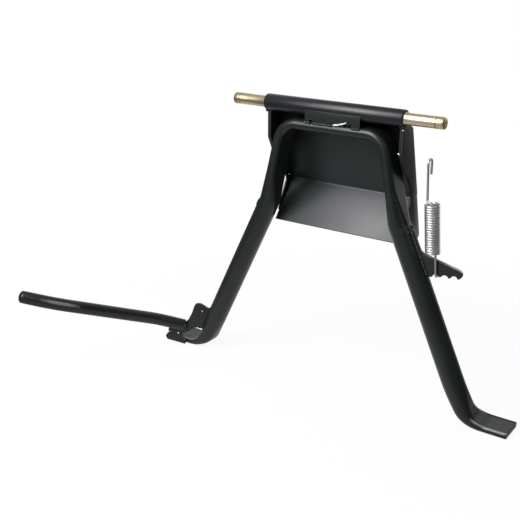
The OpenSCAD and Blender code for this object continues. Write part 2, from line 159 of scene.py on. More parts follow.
def plated_group():
    """Plated steel: fine turning marks, tone drifting through two tints, a few dull spots."""
    group, given, made = shader_group(
        "plated steel",
        [("Tone", "NodeSocketColor", (0.8, 0.8, 0.8, 1)),
         ("Cloud", "NodeSocketColor", (0.6, 0.6, 0.6, 1)),
         ("Tint", "NodeSocketColor", (0.6, 0.6, 0.6, 1)),
         ("Gloss", "NodeSocketFloat", 0.3)],
        [("Color", "NodeSocketColor"), ("Roughness", "NodeSocketFloat"),
         ("Height", "NodeSocketFloat")])
    cloud = remap(group, noise_at(group, 38.0, 3.0), 0.4, 0.62)
    drift = remap(group, noise_at(group, 23.0, 2.0), 0.5, 0.68)
    colour = blend_colour(group, cloud, given.outputs["Tone"], given.outputs["Cloud"])
    colour = blend_colour(group, drift, colour, given.outputs["Tint"])
    marks = noise_at(group, 900.0, 2.0, 0.6, (4.0, 0.25, 0.25))
    spots = remap(group, noise_at(group, 700.0, 1.0), 0.62, 0.75)
    rough = figure(group, "ADD", given.outputs["Gloss"], figure(group, "MULTIPLY", marks, 0.16))
    rough = figure(group, "ADD", rough, figure(group, "MULTIPLY", spots, 0.2))
    group.links.new(colour, made.inputs["Color"])
    group.links.new(rough, made.inputs["Roughness"])
    group.links.new(marks, made.inputs["Height"])
    return group


plated = plated_group()


def finish_of(name, group, values, metallic, depth, distance):
    """A material that places a group and hands its outputs to the shader. Where the group
    asks for bare steel laid in as a painted highlight, the piece's own attribute gives its share."""
    made = bpy.data.materials.new(name)
    made.use_nodes = True
    tree = made.node_tree
    shader = tree.nodes["Principled BSDF"]
    shader.inputs["Metallic"].default_value = metallic
    place = tree.nodes.new("ShaderNodeGroup")
    place.node_tree = group
    for label, value in values.items():
        place.inputs[label].default_value = value
    if "Painted highlight share" in place.inputs:
        painted_highlight_share = tree.nodes.new("ShaderNodeAttribute")
        painted_highlight_share.attribute_name = "painted_highlight_share"
        tree.links.new(painted_highlight_share.outputs["Fac"], place.inputs["Painted highlight share"])
        tree.links.new(place.outputs["Metallic"], shader.inputs["Metallic"])
    bump = tree.nodes.new("ShaderNodeBump")
    bump.inputs["Strength"].default_value = depth
    bump.inputs["Distance"].default_value = distance
    tree.links.new(place.outputs["Color"], shader.inputs["Base Color"])
    tree.links.new(place.outputs["Roughness"], shader.inputs["Roughness"])
    tree.links.new(place.outputs["Height"], bump.inputs["Height"])
    tree.links.new(bump.outputs["Normal"], shader.inputs["Normal"])
    return made


yellow_zinc = finish_of(
    "yellow zinc", plated,
    {"Tone": (0.80, 0.65, 0.38, 1), "Cloud": (0.86, 0.69, 0.52, 1), "Tint": (0.72, 0.66, 0.36, 1),
     "Gloss": 0.22}, 1.0, 0.25, 0.0001)

pin_profile = [(0, journal_r), (journal_half - 0.3, journal_r), (journal_half, journal_r - 0.2),
               (journal_half, pin_r + 0.02), (journal_half + 0.05, pin_r),
               (groove_at - groove_half - 0.15, pin_r),
               (groove_at - groove_half, pin_r - 0.15),
               (groove_at - groove_half, pin_r - groove_depth),
               (groove_at + groove_half, pin_r - groove_depth),
               (groove_at + groove_half, pin_r - 0.15),
               (groove_at + groove_half + 0.15, pin_r),
               (pin_half - 1.0, pin_r), (pin_half - 0.55, pin_r - 0.25),
               (pin_half - 0.2, pin_r - 0.62), (pin_half, pin_r - 1.1),
               (pin_half, 1.2), (pin_half - 0.9, 0.0)]
pin_outline = [(-x, r) for x, r in pin_profile[:0:-1]] + pin_profile[1:]
pivot_pin = turned_piece("pivot_pin_plated", pin_outline, yellow_zinc)
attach(pivot_pin, "pin")
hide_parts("pivot_pin")


# --- Pivot tube ---
# A plain steel tube that turns on the pin. It is welded to the pan, the ears and the
# crown plate, and the whole frame then has one coat of black paint.
tube_r, tube_half, bore_r = 8.6, 80.0, 6.26


def paint_group():
    """Black paint: orange peel, faint unevenness, dust specks, and bare steel laid in as a painted highlight
    where a piece asks for it.
    """
    group, given, made = shader_group(
        "black paint film",
        [("Tone", "NodeSocketColor", (0.01, 0.012, 0.013, 1)),
         ("Dust", "NodeSocketFloat", 0.25), ("Gloss", "NodeSocketFloat", 0.3),
         ("Painted highlight share", "NodeSocketFloat", 0.0)],
        [("Color", "NodeSocketColor"), ("Roughness", "NodeSocketFloat"),
         ("Metallic", "NodeSocketFloat"), ("Height", "NodeSocketFloat")])
    broad = remap(group, noise_at(group, 14.0, 3.0), 0.35, 0.7)
    fine = noise_at(group, 420.0, 2.0)
    specks = remap(group, noise_at(group, 1500.0, 1.0), 0.66, 0.74)
    thick = figure(group, "MULTIPLY", given.outputs["Dust"], broad)
    dusted = blend_colour(group, figure(group, "MULTIPLY", thick, 0.2),
                          given.outputs["Tone"], (0.05, 0.05, 0.052))
    dusted = blend_colour(group, figure(group, "MULTIPLY", specks, thick), dusted, (0.09, 0.09, 0.088))
    rough = figure(group, "ADD", given.outputs["Gloss"], figure(group, "MULTIPLY", broad, 0.06))
    rough = figure(group, "ADD", rough, figure(group, "MULTIPLY", fine, 0.05))
    patchy = remap(group, noise_at(group, 260.0, 2.0), 0.3, 0.62, 0.45, 1.0)
    # bare, glossier steel where a piece marks it: a painted highlight
    bare = figure(group, "MULTIPLY", given.outputs["Painted highlight share"], patchy)
    rough = figure(group, "SUBTRACT", rough, figure(group, "MULTIPLY", bare, 0.1))
    group.links.new(blend_colour(group, bare, dusted, (0.62, 0.62, 0.63)), made.inputs["Color"])
    group.links.new(rough, made.inputs["Roughness"])
    group.links.new(bare, made.inputs["Metallic"])
    group.links.new(fine, made.inputs["Height"])
    return group


paint_film = paint_group()
tube_paint = finish_of(
    "black paint on tube", paint_film,
    {"Tone": (0.0100, 0.0110, 0.0135, 1), "Dust": 0.2, "Gloss": 0.27}, 0.0, 0.10, 0.0002)

tube_profile = [(-tube_half, bore_r), (-tube_half, tube_r - 1.0), (-tube_half + 0.3, tube_r - 0.3),
                (-tube_half + 1.0, tube_r), (tube_half - 1.0, tube_r),
                (tube_half - 0.3, tube_r - 0.3), (tube_half, tube_r - 1.0), (tube_half, bore_r)]
pivot_tube = turned_piece("pivot_tube_painted", tube_profile, tube_paint, loop=True)
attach(pivot_tube, "stand")
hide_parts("pivot_tube")


# --- Leg frame ---
# One long steel tube bent to an arch. A press has flattened its crown and upper legs, and
# its two ends are pressed to foot pads whose rolled edges stay thick.
leg_d, crown_t = 23.0, 11.0
crown_drop, corner_x, corner_r = 18.6, 58.6, 22.0
upper_splay, kink_drop, kink_r, lower_splay = math.radians(12.4), 108.2, 40.0, math.radians(25.1)
press_end, press_run, press_step, press_lip = 119.0, 56.0, 0.9, 1.3
lean, frame_y = math.radians(1.6), 5.5
stand_h, foot_reach, foot_r = 307.0, 211.0, 28.0
pad_t, pad_start, pad_dent, pad_bead = 7.0, 14.0, 1.0, 3.6
pad_shift = {1: 13.0, -1: 5.5}

kink_x = corner_x + math.tan(upper_splay) * (kink_drop - crown_drop)
foot_z = -stand_h + pad_t / 2
foot_x = kink_x + math.tan(lower_splay) * (-foot_z - kink_drop)
leg_corners = [np.array(p, float) for p in (
    (0, -crown_drop), (corner_x, -crown_drop), (kink_x, -kink_drop), (foot_x, foot_z), (foot_reach, foot_z))]


def smooth(t):
    """A soft step from 0 to 1."""
    t = min(1.0, max(0.0, t))
    return t * t * (3 - 2 * t)


def arc_between(a, b, c, r, n):
    """Points and directions of the arc that rounds corner b."""
    d0, d1 = (b - a) / np.linalg.norm(b - a), (c - b) / np.linalg.norm(c - b)
    angle = math.acos(float(d0 @ d1))
    turn = math.copysign(1.0, d0[0] * d1[1] - d0[1] * d1[0])
    centre = b - d0 * r * math.tan(angle / 2) + np.array((-d0[1], d0[0])) * turn * r
    out = []
    for i in range(n + 1):
        t = turn * angle * i / n
        d = np.array((d0[0] * math.cos(t) - d0[1] * math.sin(t), d0[0] * math.sin(t) + d0[1] * math.cos(t)))
        out.append((centre - np.array((-d[1], d[0])) * turn * r, d))
    return out


def leg_centre_line():
    """The right half's centre line from the crown's middle to the pad's end, finely stepped."""
    line = [(leg_corners[0], np.array((1.0, 0.0)))]
    for k, (r, n) in zip((1, 2, 3), ((corner_r, 28), (kink_r, 10), (foot_r, 36))):
        line += arc_between(leg_corners[k - 1], leg_corners[k], leg_corners[k + 1], r, n)
    line.append((leg_corners[4], np.array((1.0, 0.0))))
    fine = [line[0]]
    for one, two in zip(line, line[1:]):
        gap = float(np.linalg.norm(two[0] - one[0]))
        steps = max(1, round(gap / 2.0))
        for i in range(1, steps + 1):
            t = i / steps
            d = one[1] + (two[1] - one[1]) * t
            fine.append((one[0] + (two[0] - one[0]) * t, d / np.linalg.norm(d)))
    # a tight row of stations makes the shoulder where the pressed part ends
    k = next(i for i, (p, d) in enumerate(fine) if p[1] < -press_end)
    (p0, d0), (p1, d1) = fine[k - 1], fine[k]
    for z in (-press_end + 1.2, -press_end + 0.9, -press_end + 0.6, -press_end + 0.3, -press_end):
        t = (z - p0[1]) / (p1[1] - p0[1])
        if 0.02 < t < 0.98:
            fine.insert(k, (p0 + (p1 - p0) * t, d1))
            k += 1
    return sorted(fine, key=lambda s: (s[0][0], -s[0][1]))


foot_run = foot_r * math.tan((math.pi / 2 - lower_splay) / 2)
pad_x0 = foot_x - foot_run * math.sin(lower_splay) - pad_start
pad_x1 = foot_x + foot_run


def flattened(p):
    """Thickness, girth-keeping width, pad share and outer lip of the tube at one station."""
    share = smooth((abs(p[0]) - pad_x0) / (pad_x1 - pad_x0))
    pressed, lip = leg_d, 0.0
    if p[1] > -press_end:
        step = smooth((p[1] + press_end) / 1.2)
        pressed = leg_d - press_step * step
        pressed += (crown_t - pressed) * smooth((p[1] + press_end) / press_run)
        lip = press_lip * step * smooth((-p[1] - press_end + 10) / 6)
    t = min(pressed, leg_d + (pad_t - leg_d) * share)
    return t, t + (leg_d - t) * math.pi / 2, share, lip


def stadium(t, w, n):
    """n points spread evenly round a flattened circle, t thick and w wide."""
    flat, arc = w - t, math.pi * t / 2
    girth = 2 * (flat + arc)
    out = []
    for i in range(n):
        s = ((i + 0.5) / n * girth + flat / 2) % girth
        if s < flat:
            out.append((t / 2, s - flat / 2))
        elif s < flat + arc:
            a = (s - flat) / (t / 2)
            out.append((t / 2 * math.cos(a), flat / 2 + t / 2 * math.sin(a)))
        elif s < 2 * flat + arc:
            out.append((-t / 2, flat / 2 - (s - flat - arc)))
        else:
            a = (s - 2 * flat - arc) / (t / 2)
            out.append((-t / 2 * math.cos(a), -flat / 2 - t / 2 * math.sin(a)))
    return out


def leg_ring(p, d, side, n=120, trim=0.0):
    """One section of the leg in millimetres, right (side 1) or left (-1), and the share of
    painted highlight, laid in as bare steel, at each of its points."""
    t, w, share, lip = flattened(p)
    t, w = t - trim, w - trim
    out = np.array((-d[1], d[0]))
    shift = pad_shift[side] * share
    ring, painted_highlight_share = [], []
    for u, v in stadium(t, w, n):
        dent = pad_dent * smooth((share - 0.42) / 0.3) * smooth((w / 2 - abs(v) - pad_bead * 0.6) / 1.5)
        # the pads' rolled top edges, the front one most, get bare steel as a painted highlight
        edge = smooth((share - 0.55) / 0.25) * smooth(1.0 - abs(w / 2 - abs(v) - 1.9) / 1.3)
        painted_highlight_share.append(edge * (u > 0) * (1.0 if v < 0 else 0.25))
        u += lip * u / (t / 2) if u > 0 else 0.0
        u -= math.copysign(dent if u > 0 else 0.33 * dent, u)
        x, z = p[0] + out[0] * u, p[1] + out[1] * u
        y = frame_y + math.tan(lean) * z + shift + v
        ring.append((side * x, y, z))
    return ring, painted_highlight_share


leg_paint = finish_of(
    "black paint on legs", paint_film,
    {"Tone": (0.0100, 0.0122, 0.0120, 1), "Dust": 0.25, "Gloss": 0.24}, 0.0, 0.12, 0.0002)


def lofted_piece(name, rings, finish, crease=35):
    """Skins a row of equal rings and closes both ends."""
    n, points, faces = len(rings[0]), [], []
    for ring in rings:
        points += [tuple(q) for q in ring]
    for k in range(len(rings) - 1):
        for i in range(n):
            j = (i + 1) % n
            faces.append((k * n + i, k * n + j, (k + 1) * n + j, (k + 1) * n + i))
    faces.append(tuple(range(n))[::-1])
    faces.append(tuple((len(rings) - 1) * n + i for i in range(n)))
    return piece_from(name, points, faces, finish, crease)


def paint_highlight_by_point(piece, points, shares):
    """Keeps, on each vertex, the share of painted highlight (bare steel) at the given point it came from."""
    table = {tuple(round(c, 2) for c in p): s for p, s in zip(points, shares)}
    mark = piece.data.attributes.new("painted_highlight_share", "FLOAT", "POINT")
    for vertex, value in zip(piece.data.vertices, mark.data):
        value.value = table.get(tuple(round(1000 * c, 2) for c in vertex.co), 0.0)


def half_rings(side):
    """The sections of one half, with the pad's end broken over its last 0.6 mm."""
    line = leg_centre_line()
    rings = [leg_ring(p, d, side) for p, d in line[:-1]]
    p, d = line[-1]
    return rings + [leg_ring(p - d * 0.6, d, side), leg_ring(p - d * 0.15, d, side, trim=0.4),
                    leg_ring(p, d, side, trim=1.3)]


right_rings, left_rings = half_rings(1), half_rings(-1)
leg_rings = left_rings[:0:-1] + right_rings
leg_frame = lofted_piece("leg_frame_painted", [r for r, _ in leg_rings], leg_paint, 42)
# painted highlight along the pads' rolled edges
paint_highlight_by_point(leg_frame, [q for r, _ in leg_rings for q in r], [s for _, m in leg_rings for s in m])
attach(leg_frame, "stand")
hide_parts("leg_frame")


# --- Sheet pan ---
# A 2 mm steel sheet folded to a back wall and a floor between two side walls. It
# stiffens the arch and keeps the wheel's spray off the pivot.
sheet_t, pan_half = 2.0, 75.0
pan_top = (20.6, -12.4)
fold_at, floor_end = (43.0, -90.0), (9.0, -131.0)
fold_r, skirt = 3.0, (57.0, -139.0)
ear_y, ear_lead, ear_end = 1.5, 31.0, 87.0
meet_drop = crown_drop + (pan_half - corner_x - crown_t / 2) / math.tan(upper_splay)
crown_w = crown_t + (leg_d - crown_t) * math.pi / 2
leg_rear_y = frame_y - math.tan(lean) * ear_end + crown_w / 2


def cut_sheet(name, outline, place, thick, finish, edge=0.35):
    """A plate cut to an outline, with softly broken edges. place(u, v, w) gives its points."""
    n = len(outline)
    points = [place(u, v, 0.0) for u, v in outline] + [place(u, v, thick) for u, v in outline]
    faces = [tuple(range(n))[::-1], tuple(range(n, 2 * n))]
    faces += [(i, (i + 1) % n, n + (i + 1) % n, n + i) for i in range(n)]
    piece = piece_from(name, points, faces, finish)
    soft = piece.modifiers.new("broken edges", "BEVEL")
    soft.width, soft.segments, soft.limit_method = 0.001 * edge, 3, "ANGLE"
    soft.angle_limit = math.radians(50)
    return made_plain(piece)


def made_plain(piece):
    """The same piece with its modifiers turned into plain mesh."""
    view = bpy.context.evaluated_depsgraph_get()
    plain = bpy.data.meshes.new_from_object(piece.evaluated_get(view), depsgraph=view)
    piece.modifiers.clear()
    piece.data = plain
    plain.shade_smooth()
    plain.set_sharp_from_angle(angle=math.radians(35))
    return piece


def joined(name, pieces):
    """Joins pieces of one finish into one object."""
    form = bmesh.new()
    for piece in pieces:
        form.from_mesh(piece.data)
    mesh = bpy.data.meshes.new(name)
    form.to_mesh(mesh)
    form.free()
    mesh.materials.append(pieces[0].data.materials[0])
    for piece in pieces:
        bpy.data.objects.remove(piece)
    mesh.shade_smooth()
    mesh.set_sharp_from_angle(angle=math.radians(35))
    whole = bpy.data.objects.new(name, mesh)
    bpy.context.collection.objects.link(whole)
    return whole


def paint_highlight_by_rule(piece, share):
    """Sets the share of painted highlight (bare steel) from a rule on a vertex's place and normal."""
    mark = piece.data.attributes.new("painted_highlight_share", "FLOAT", "POINT")
    for vertex, value in zip(piece.data.vertices, mark.data):
        value.value = share(*(1000 * c for c in vertex.co), vertex.normal)


def rounded(points, radii, n=5):
    """An outline with its corners rounded, one radius per corner, 0 for a sharp one."""
    out = []
    m = len(points)
    for i in range(m):
        a, b, c = (np.array(points[k % m], float) for k in (i - 1, i, i + 1))
        r = radii[i] if isinstance(radii, (list, tuple)) else radii
        d0, d1 = b - a, c - b
        l0, l1 = np.linalg.norm(d0), np.linalg.norm(d1)
        bend = math.acos(max(-1.0, min(1.0, float(d0 @ d1) / (l0 * l1))))
        run = r * math.tan(bend / 2)
        if r <= 0 or bend < 0.05:
            out.append(tuple(b))
            continue
        run = min(run, 0.45 * l0, 0.45 * l1)
        out += [tuple(q) for q, _ in arc_between(a, b, c, run / math.tan(bend / 2), n)]
    return out


ear_front = [(-ear_y, -tube_r + 1), (-ear_y, ear_lead - meet_drop),
             (leg_rear_y - 11, ear_lead / 2.2 - meet_drop), (leg_rear_y - 1, ear_lead / 5 - meet_drop),
             (leg_rear_y + 8, -ear_end + 13), (leg_rear_y + 10, -ear_end + 3)]
front_r = [0, 3, 8, 8, 5, 2]
tube_side = [pan_top, (tube_r - 1, -tube_r + 3.6), (4.0, -7.0)]
wall_outline = rounded(
    ear_front + [(leg_rear_y + 14, -ear_end - 2), (floor_end[0] + 6.5, floor_end[1] + 8),
                 skirt, (fold_at[0] + 1.5, fold_at[1])] + tube_side,
    front_r + [4, 3, 4, 3, 2, 0, 0], 4)

pan_paint = finish_of(
    "black paint on sheet", paint_film,
    {"Tone": (0.0105, 0.0140, 0.0145, 1), "Dust": 0.3, "Gloss": 0.30}, 0.0, 0.10, 0.0002)

# the sheet's middle line in Y and Z: top flange, back wall and floor
back_line = [(tube_r - 1.6, -tube_r + 3.8), (pan_top[0] - 1, pan_top[1]),
             (fold_at[0] - 1, fold_at[1]), floor_end]
bent = [(np.array(back_line[0], float), None)]
for k in (1, 2):
    bent += arc_between(*(np.array(back_line[i], float) for i in (k - 1, k, k + 1)), fold_r + 1, 8)
bent.append((np.array(back_line[3], float), None))
run_dirs = []
for k in range(len(bent)):
    a, b = bent[max(k - 1, 0)][0], bent[min(k + 1, len(bent) - 1)][0]
    run_dirs.append((b - a) / np.linalg.norm(b - a) if bent[k][1] is None else bent[k][1])
upper = [p + np.array((-d[1], d[0])) for (p, _), d in zip(bent, run_dirs)]
lower = [p - np.array((-d[1], d[0])) for (p, _), d in zip(bent, run_dirs)]
shell = cut_sheet("pan_shell", [tuple(q) for q in upper + lower[::-1]],
                  lambda u, v, w: (w - pan_half - 0.05, u, v), 2 * pan_half + 0.1, pan_paint)
walls = [cut_sheet("pan_wall", wall_outline, lambda u, v, w, s=s: (s * (pan_half + w), u, v),
                   sheet_t, pan_paint) for s in (-1, 1)]
pan = joined("sheet_pan_painted", [shell] + walls)
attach(pan, "stand")
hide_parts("pan")


# --- Ear plates ---
# A second plate doubles each side wall at the pivot. Its front edge runs down past the
# crown and turns back behind the leg.
ear_t = 2.0
back_slope = (fold_at[0] - pan_top[0]) / (pan_top[1] - fold_at[1])
ear_back = pan_top[0] + back_slope * (ear_end + pan_top[1]) - 1.5
ear_outline = rounded(ear_front + [(ear_back, -ear_end)] + tube_side, front_r + [2, 2, 0, 0], 4)
# the ears' paint is lighter in tone than the frame's: a painted reflection on their outer faces
ear_paint_with_painted_reflection = finish_of(
    "black paint on ears with painted reflection", paint_film,
    {"Tone": (0.0200, 0.0235, 0.0215, 1), "Dust": 0.4, "Gloss": 0.30}, 0.0, 0.10, 0.0002)
for side, node in ((-1, "ear_left"), (1, "ear_right")):
    ear = cut_sheet(node + "_painted", ear_outline,
                    lambda u, v, w, s=side: (s * (pan_half + sheet_t + w), u, v), ear_t, ear_paint_with_painted_reflection)
    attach(ear, "stand")
    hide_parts(node)


# --- Crown plate ---
# A small plate that fills the gap between pivot tube and crown, welded along both, with
# round notches in its lower edge.
web_left, web_right, web_t, web_y = 29.0, 35.0, 2.5, -8.5
web_top, web_foot, notch_r, notch_z = -2.0, -15.0, 2.0, -13.6
web_notches = (-21.8, 18.5, 23.5)


def notched_edge():
    """The plate's outline in X and Z: its top, then its lower edge from right to left."""
    line = [(-web_left, web_top), (web_right, web_top), (web_right, web_foot)]
    for x in np.arange(web_right - 0.25, -web_left, -0.25):
        near = min(abs(x - c) for c in web_notches)
        if near < notch_r:
            line.append((x, notch_z + math.sqrt(notch_r ** 2 - near ** 2)))
        elif near < notch_r + 0.26:
            line.append((x, web_foot))
    return line + [(-web_left, web_foot)]


web = cut_sheet("crown_plate_painted", notched_edge(), lambda u, v, w: (u, web_y + w, v),
                web_t, pan_paint, 0.25)
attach(web, "stand")
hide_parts("crown_web")


# --- Spring lug ---
# A 4 mm plate cut with three hook notches, welded along the outside of the right leg. The
# spring hooks into the notch that gives the wanted pull.
lug_t, lug_reach, lug_depth, lug_rise, lug_tip_r = 4.0, 149.2, 36.5, 8.9, 5.0
notch_pitch, notch_step, hook_notch_r = 9.8, 1.2, 4.2
lug_y = frame_y - math.tan(lean) * (press_end + lug_depth / 2)
lug_root = -press_end - lug_depth
lug_tip = (lug_reach - lug_tip_r, lug_root + lug_rise)
flank_base = kink_x + (leg_d / 2) / math.cos(lower_splay)


def flank_x(z):
    """How far out the leg's outer flank is at a height."""
    return flank_base + math.tan(lower_splay) * (-z - kink_drop)


hook_notches = [(lug_tip[0] - 2.6 - notch_pitch * i, lug_tip[1] - 2.2 - hook_notch_r - notch_step * i)
                for i in range(3)]


def lug_outline():
    """From the leg's flank along the notched lower edge, round the tip and back on top."""
    low = lug_tip[1] - lug_tip_r
    edge = [(flank_x(lug_root) - 2, lug_root), (flank_x(lug_root) + 3, lug_root + 0.5)]
    base = [np.array(p) for p in (edge[-1], (hook_notches[1][0] - notch_pitch / 2, low - 1.2),
                                  (lug_tip[0], low))]
    line = []
    for a, b in zip(base, base[1:]):
        for i in range(48):
            q = a + (b - a) * i / 48
            for cx, cz in hook_notches:
                gap = q - np.array((cx, cz))
                if abs(gap[0]) < hook_notch_r:
                    q = np.array((q[0], max(q[1], cz + math.sqrt(hook_notch_r ** 2 - gap[0] ** 2))))
            line.append(tuple(q))
    tip = [(lug_tip[0] + lug_tip_r * math.sin(a), lug_tip[1] - lug_tip_r * math.cos(a))
           for a in np.linspace(math.radians(12), math.radians(155), 20)]
    back = lug_tip[1] + lug_tip_r + 9
    top = rounded([tip[-1], (flank_x(-press_end - 16) + 4, back),
                   (flank_x(-press_end - 10) + 3, back + 2.5),
                   (flank_x(-press_end + 8) + 2.6, -press_end + 8),
                   (flank_x(-press_end + 14) - 1, -press_end + 14),
                   (flank_x(-press_end) - 3, -press_end)], [0, 5, 3, 2, 0.5, 0], 5)
    return edge[:1] + line + tip[:-1] + top


lug_paint = finish_of(
    "black paint on plates", paint_film,
    {"Tone": (0.0110, 0.0120, 0.0130, 1), "Dust": 0.3, "Gloss": 0.3}, 0.0, 0.12, 0.0002)
lug = cut_sheet("spring_lug_painted", lug_outline(), lambda u, v, w: (u, lug_y - lug_t / 2 + w, v), lug_t,
                lug_paint, 0.5)
# the top edge outside the leg, where it faces up, is bare steel as a painted highlight
paint_highlight_by_rule(lug, lambda x, y, z, n: 0.9 * smooth((n.z - 0.25) / 0.4) * smooth((x - 118) / 5))
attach(lug, "stand")
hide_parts("spring_lug")


# --- Return spring ---
# A close-wound spring of bright zinc plated wire. Its lower hook sits in the lug's inner
# notch, and a long straight shank with a small hook runs up to the vehicle's frame.
wire_d, coil_d, turn_gap, turns, hook_r = 2.3, 15.3, 0.15, 20, 3.0
coil_rise, shank_len, upper_hook_r = 23.2, 36.0, 4.2
mean_r, pitch = (coil_d - wire_d) / 2, wire_d + turn_gap
coil_len, loop_r = turns * pitch, hook_r + wire_d / 2
loop = np.array((hook_notches[2][0] + 0.9, lug_y, hook_notches[2][1] + hook_notch_r + 1.8))
coil_base = loop + np.array((-coil_rise * 0.08, -loop_r - mean_r, coil_rise))
coil_lean = np.array((-4.2, 0, 53))
coil_axis = coil_lean / np.linalg.norm(coil_lean)
coil_side = np.array((coil_axis[2], 0, -coil_axis[0]))
coil_back = np.cross(coil_axis, coil_side)


def on_coil(h, r, degrees):
    """A point round the coil's axis, at a height above its base."""
    a = math.radians(degrees)
    return coil_base + coil_axis * h + coil_side * r * math.sin(a) + coil_back * r * math.cos(a)


def wire_line():
    """The wire's centre line from the lower hook through the coil to the upper hook."""
    line = [loop + loop_r * np.array((0, math.cos(math.radians(a)), math.sin(math.radians(a))))
            for a in range(-10, -181, -10)]
    start, end = loop + np.array((0, -loop_r, 0)), on_coil(-2.5, mean_r, 0)
    line += [start + (end - start) * t for t in (0.06, 0.3, 0.6, 0.85)]
    line += [on_coil(i / 36 * pitch, mean_r, 10 * i) for i in range(turns * 36 + 1)]
    foot = on_coil(coil_len + 2 * wire_d, mean_r, 200)
    shank_lean = np.array((-0.046, 0, 1))
    top = foot + shank_lean / np.linalg.norm(shank_lean) * shank_len
    line += [on_coil(coil_len + h * wire_d, mean_r, a)
             for a, h in ((25, 0.1), (50, 0.2), (75, 0.3), (100, 0.42),
                          (122, 0.56), (145, 0.78), (165, 1.05), (182, 1.4))]
    line += [foot + (top - foot) * t for t in (0, 0.06, 0.2, 0.5, 1.0)]
    line += [top + upper_hook_r * np.array((0, 1 + math.cos(math.radians(a)), math.sin(math.radians(a))))
             for a in range(170, -1, -10)]
    return line + [top + upper_hook_r * np.array((0, 2, -k)) for k in (1.2, 2.7)]


def drawn_wire(name):
    """A node tree that draws a round wire along a line of points."""
    tree = bpy.data.node_groups.new(name, "GeometryNodeTree")
    tree.interface.new_socket("Line", in_out="INPUT", socket_type="NodeSocketGeometry")
    for label, kind in (("Wire radius", "NodeSocketFloat"), ("Sides", "NodeSocketInt"),
                        ("Finish", "NodeSocketMaterial")):
        tree.interface.new_socket(label, in_out="INPUT", socket_type=kind)
    tree.interface.new_socket("Wire", in_out="OUTPUT", socket_type="NodeSocketGeometry")
    given, made = tree.nodes.new("NodeGroupInput"), tree.nodes.new("NodeGroupOutput")
    line, circle = tree.nodes.new("GeometryNodeMeshToCurve"), tree.nodes.new("GeometryNodeCurvePrimitiveCircle")
    tube, real = tree.nodes.new("GeometryNodeCurveToMesh"), tree.nodes.new("GeometryNodeRealizeInstances")
    coat = tree.nodes.new("GeometryNodeSetMaterial")
    tube.inputs["Fill Caps"].default_value = True
    for one, two in ((given.outputs["Line"], line.inputs["Mesh"]),
                     (given.outputs["Wire radius"], circle.inputs["Radius"]),
                     (given.outputs["Sides"], circle.inputs["Resolution"]),
                     (line.outputs["Curve"], tube.inputs["Curve"]),
                     (circle.outputs["Curve"], tube.inputs["Profile Curve"]),
                     (tube.outputs["Mesh"], real.inputs["Geometry"]),
                     (real.outputs["Geometry"], coat.inputs["Geometry"]),
                     (given.outputs["Finish"], coat.inputs["Material"]),
                     (coat.outputs["Geometry"], made.inputs["Wire"])):
        tree.links.new(one, two)
    return tree


def grown(name, lines, tree, values):
    """Runs a node tree on lines of points (millimetres) and keeps the result as plain mesh."""
    points, edges = [], []
    for line in lines:
        edges += [(len(points) + i, len(points) + i + 1) for i in range(len(line) - 1)]
        points += [tuple(0.001 * c for c in q) for q in line]
    mesh = bpy.data.meshes.new(name)
    mesh.from_pydata(points, edges, [])
    piece = bpy.data.objects.new(name, mesh)
    bpy.context.collection.objects.link(piece)
    growth = piece.modifiers.new("growth", "NODES")
    growth.node_group = tree
    for socket in tree.interface.items_tree:
        if socket.item_type == "SOCKET" and socket.in_out == "INPUT" and socket.name in values:
            growth[socket.identifier] = values[socket.name]
    return made_plain(piece)


bright_zinc = finish_of(
    "bright zinc", plated,
    {"Tone": (0.80, 0.80, 0.80, 1), "Cloud": (0.72, 0.72, 0.70, 1), "Tint": (0.78, 0.77, 0.76, 1),
     "Gloss": 0.28}, 1.0, 0.15, 0.0001)
spring = grown("return_spring_wire", [wire_line()], drawn_wire("drawn wire"),
               {"Wire radius": 0.001 * wire_d / 2, "Sides": 14, "Finish": bright_zinc})
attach(spring, "spring")
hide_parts("return_spring")


# --- Foot bracket ---
# A thick plate cut to shape, set at an angle against the left leg's foot. It carries the
# lever's welded end and its tail stands on the foot pad.
bracket_t, bracket_turn = 4.0, math.radians(30)
bracket_at = (-foot_x - 18.2, -15.0)
# the outline in three runs, as places along and above the plate
lobe = [(-41, 51), (-33, 51), (-27, 49), (-24, 51), (-19, 54.4), (-14.4, 55.3), (-11, 53.5),
        (-9.3, 50), (-6.8, 42.3), (-2.2, 33.4), (3, 28)]
tail = [(12, 28), (21, 24.5), (22.6, 20.1), (22.2, 16.5), (26.5, 11.5), (24, 7.2), (9.1, 3.1), (1.6, 1)]
throat = [(1.6, 5.2), (4.5, 7), (6, 13), (4, 17), (-2.5, 18.5), (-9, 23.5), (-19, 22.5), (-30, 23)]


def on_bracket(u, v, w):
    """u runs from the leg to the lever, v up from the ground, w through the plate."""
    c, s = math.cos(bracket_turn), math.sin(bracket_turn)
    w -= bracket_t / 2
    return (bracket_at[0] - u * c - w * s, bracket_at[1] - u * s + w * c, v - stand_h)


bracket = cut_sheet("foot_bracket_painted", rounded(lobe + tail + throat, 2.5, 4), on_bracket, bracket_t,
                    lug_paint, 0.5)
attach(bracket, "stand")
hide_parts("foot_bracket")


# --- Foot lever ---
# A round steel rod bent near its free tip and near its foot, where it is welded to the
# bracket. The rider treads on its tip to raise the vehicle.
rod_r = 7.15
foot_at = np.array((-foot_x, 0, -stand_h))
# tip, outer bend, inner bend and welded end, from the foot's place on the ground
lever_points = [foot_at + np.array(p, float) for p in (
    (-118.2, -182, 97.5), (-94.7, -152, 83.5), (-42.2, -39.5, 37), (-19.8, -17.7, 26.4))]


def eased(a, b, c, run, n):
    """A soft bend at b, as a parabola that leaves each side a given run before b."""
    p0 = b + (a - b) / np.linalg.norm(a - b) * run
    p1 = b + (c - b) / np.linalg.norm(c - b) * run
    return [(1 - t) ** 2 * p0 + 2 * t * (1 - t) * b + t * t * p1 for t in np.linspace(0, 1, n)]


